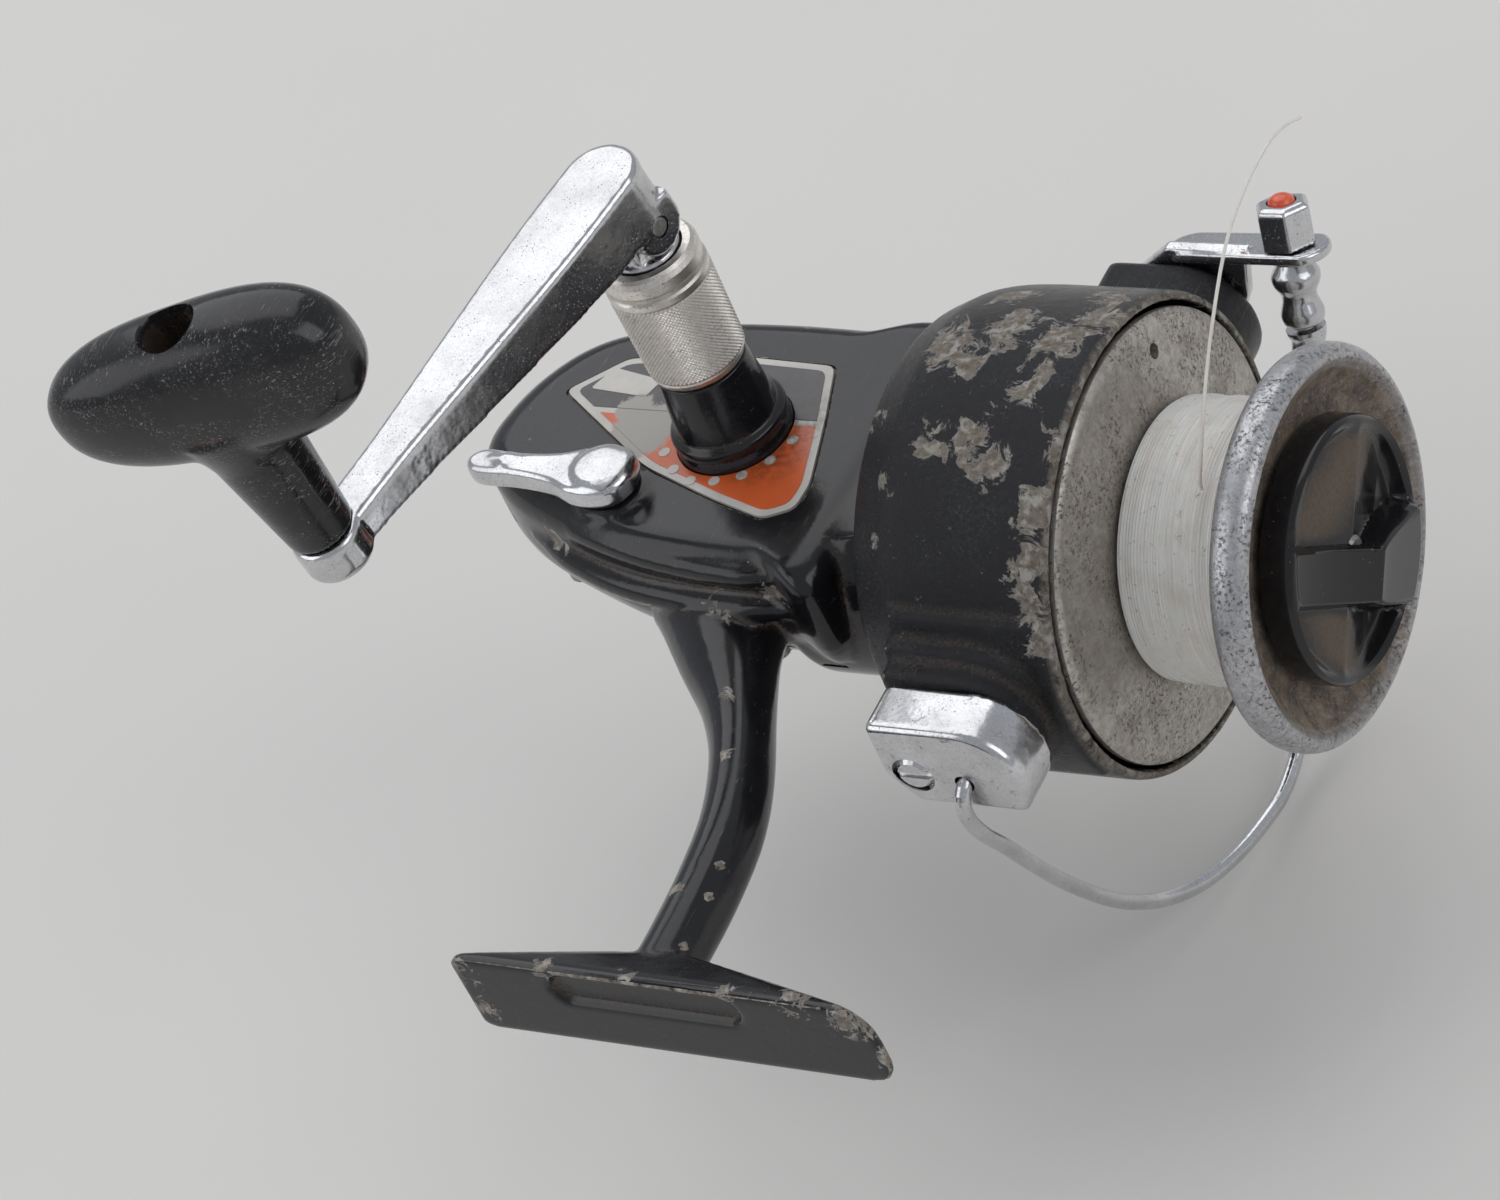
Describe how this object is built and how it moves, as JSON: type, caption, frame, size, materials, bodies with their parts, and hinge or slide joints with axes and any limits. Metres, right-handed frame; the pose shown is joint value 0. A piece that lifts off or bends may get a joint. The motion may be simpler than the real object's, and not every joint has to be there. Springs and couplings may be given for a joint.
{
  "type": "spinning reel",
  "caption": "Open-face spinning reel with folding crank handle, knurled locking sleeve, painted rotor, wire bail with line roller, alloy spool of line and rod foot",
  "frame": {"origin": "centre of the foot's flat mounting face", "axes": "+X forward along the spool axis towards the front of the reel, +Z out of the handle side along the handle axis, -Y out of the foot towards the rod"},
  "size_m": [0.125, 0.1281, 0.1434],
  "materials": {
    "paint": "black stove enamel, worn and chipped to bare alloy",
    "black_plastic": "black moulded plastic with fine scuffs",
    "steel": "plain steel",
    "chrome": "bright chrome plate with pitting",
    "nickel": "dull nickel plate",
    "aluminium": "turned aluminium, oxidised and grimy",
    "brass": "machined brass",
    "badge_print": "printed foil shield in orange, black and white",
    "fishing_line": "translucent nylon line",
    "red_bead": "bright red plastic",
    "felt": "oiled felt"
  },
  "bodies": {
    "housing": {"reel_body": "paint", "side_cover": "paint", "side_badge": "badge_print", "cover_screw_1": "steel", "cover_screw_2": "steel", "cover_screw_3": "steel", "cover_screw_4": "steel", "pinion_bearing": "steel", "drive_bushing": "brass"},
    "drive": {"drive_gear": "brass", "drive_stud": "steel", "ratchet_wheel": "steel", "drive_shaft": "steel", "handle_lug": "nickel"},
    "sleeve": {"locking_sleeve": "nickel"},
    "crank": {"crank_arm": "chrome", "crank_pin": "steel", "knob_spindle": "steel"},
    "knob": {"handle_knob": "black_plastic"},
    "rotor": {"rotor_cup": "paint", "pinion_gear": "brass", "rotor_nut": "brass", "bail_spring": "steel", "bail_pivot_screw_lower": "steel", "bail_pivot_screw_upper": "steel"},
    "bail": {"bail_cover": "chrome", "bail_arm": "chrome", "bail_wire": "steel", "roller_nut": "chrome", "roller_screw": "steel", "nut_jewel": "red_bead"},
    "roller": {"line_roller": "nickel"},
    "shaft": {"main_shaft": "steel", "crosshead": "brass"},
    "spool_body": {"spool": "aluminium", "line_winding": "fishing_line", "click_gear": "steel", "drag_washer_1": "steel", "drag_washer_2": "felt", "drag_washer_3": "steel", "line_end": "fishing_line"},
    "drag": {"drag_knob": "black_plastic", "drag_nut": "brass"},
    "switch": {"anti_reverse_lever": "chrome", "anti_reverse_pawl": "steel"}
  },
  "joints": [
    {"name": "drive_turn", "type": "hinge", "parent": "housing", "child": "drive", "pos_m": [-0.02645, 0.082, 0], "axis": [0, 0, 1], "continuous": true},
    {"name": "sleeve_turn", "type": "hinge", "parent": "drive", "child": "sleeve", "pos_m": [-0.02645, 0.082, 0.035], "axis": [0, 0, 1], "continuous": true},
    {"name": "crank_fold", "type": "hinge", "parent": "drive", "child": "crank", "pos_m": [-0.02645, 0.082, 0.05], "axis": [0.9724, -0.2334, 0], "range_deg": [-7, 30]},
    {"name": "knob_turn", "type": "hinge", "parent": "crank", "child": "knob", "pos_m": [-0.03966, 0.02699, 0.04305], "axis": [-0.0285, -0.1185, 0.9925], "continuous": true},
    {"name": "rotor_turn", "type": "hinge", "parent": "housing", "child": "rotor", "pos_m": [0.00185, 0.082, 0], "axis": [1, 0, 0], "continuous": true},
    {"name": "bail_swing", "type": "hinge", "parent": "rotor", "child": "bail", "pos_m": [0.01415, 0.082, 0], "axis": [0, -1, 0], "range_deg": [0, 88], "stiffness_Nm_per_rad": 0.0008},
    {"name": "roller_turn", "type": "hinge", "parent": "bail", "child": "roller", "pos_m": [0.03365, 0.1218, 0.0034], "axis": [-0.02, 0.3102, 0.9505], "continuous": true},
    {"name": "shaft_slide", "type": "slide", "parent": "housing", "child": "shaft", "axis": [1, 0, 0], "range_m": [-0.014, 0]},
    {"name": "spool_slip", "type": "hinge", "parent": "shaft", "child": "spool_body", "pos_m": [0.03685, 0.082, 0], "axis": [1, 0, 0], "continuous": true},
    {"name": "drag_knob_turn", "type": "hinge", "parent": "shaft", "child": "drag", "pos_m": [0.05485, 0.082, 0], "axis": [1, 0, 0], "range_deg": [-180, 180]},
    {"name": "anti_reverse_switch", "type": "hinge", "parent": "housing", "child": "switch", "pos_m": [-0.03965, 0.0706, 0.014], "axis": [0, 0, 1], "range_deg": [0, 25]}
  ],
  "couplings": [
    {"joint": "rotor_turn", "follows": "drive_turn", "ratio": -4}
  ]
}
